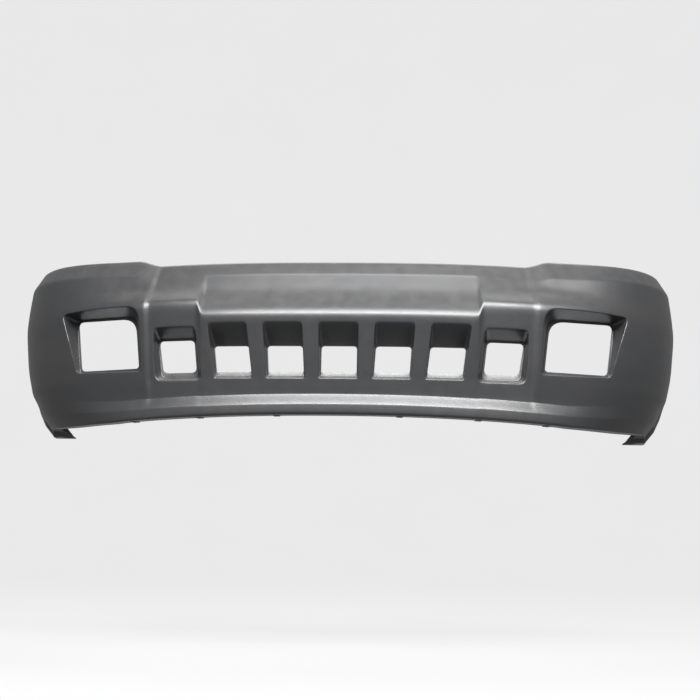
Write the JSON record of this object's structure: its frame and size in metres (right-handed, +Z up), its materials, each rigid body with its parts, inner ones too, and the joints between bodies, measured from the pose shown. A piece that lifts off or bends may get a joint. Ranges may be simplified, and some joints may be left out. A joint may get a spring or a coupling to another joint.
{
  "type": "bumper cover",
  "caption": "Front bumper cover moulding with a row of central slots, raised pilasters, fog-lamp openings, wheel-arch flanges and its fastening hardware.",
  "frame": {"origin": "centre of the top mounting flange, on its upper face", "axes": "+X to the right as seen from in front of the car, +Y to the rear of the car, +Z up"},
  "size_m": [1.786, 0.4673, 0.4439],
  "materials": {
    "fascia_plastic": "satin moulded thermoplastic, fine grain",
    "bracket_plastic": "moulded, lightly ribbed",
    "zinc_steel": "zinc plated",
    "spring_steel": "phosphated spring steel"
  },
  "bodies": {
    "root": {"fascia_skin": "fascia_plastic", "upper_support_strip": "zinc_steel", "strip_rivet_1": "zinc_steel", "strip_rivet_2": "zinc_steel", "strip_rivet_3": "zinc_steel", "strip_rivet_4": "zinc_steel", "strip_rivet_5": "zinc_steel", "strip_rivet_6": "zinc_steel", "top_clip_1": "bracket_plastic", "top_clip_2": "bracket_plastic", "top_clip_3": "bracket_plastic", "top_clip_4": "bracket_plastic", "lower_nut_1": "spring_steel", "lower_nut_2": "spring_steel", "lower_nut_3": "spring_steel", "lower_nut_4": "spring_steel", "lower_nut_5": "spring_steel", "lower_nut_6": "spring_steel", "arch_nut_left_1": "spring_steel", "arch_nut_left_2": "spring_steel", "arch_nut_left_3": "spring_steel", "foglamp_bracket_left": "bracket_plastic", "foglamp_screw_left_1": "zinc_steel", "foglamp_screw_left_2": "zinc_steel", "foglamp_screw_left_3": "zinc_steel", "fender_bracket_left": "bracket_plastic", "fender_rivet_left_1": "zinc_steel", "fender_rivet_left_2": "zinc_steel", "fender_rivet_left_3": "zinc_steel", "arch_nut_right_1": "spring_steel", "arch_nut_right_2": "spring_steel", "arch_nut_right_3": "spring_steel", "foglamp_bracket_right": "bracket_plastic", "foglamp_screw_right_1": "zinc_steel", "foglamp_screw_right_2": "zinc_steel", "foglamp_screw_right_3": "zinc_steel", "fender_bracket_right": "bracket_plastic", "fender_rivet_right_1": "zinc_steel", "fender_rivet_right_2": "zinc_steel", "fender_rivet_right_3": "zinc_steel"}
  },
  "joints": []
}
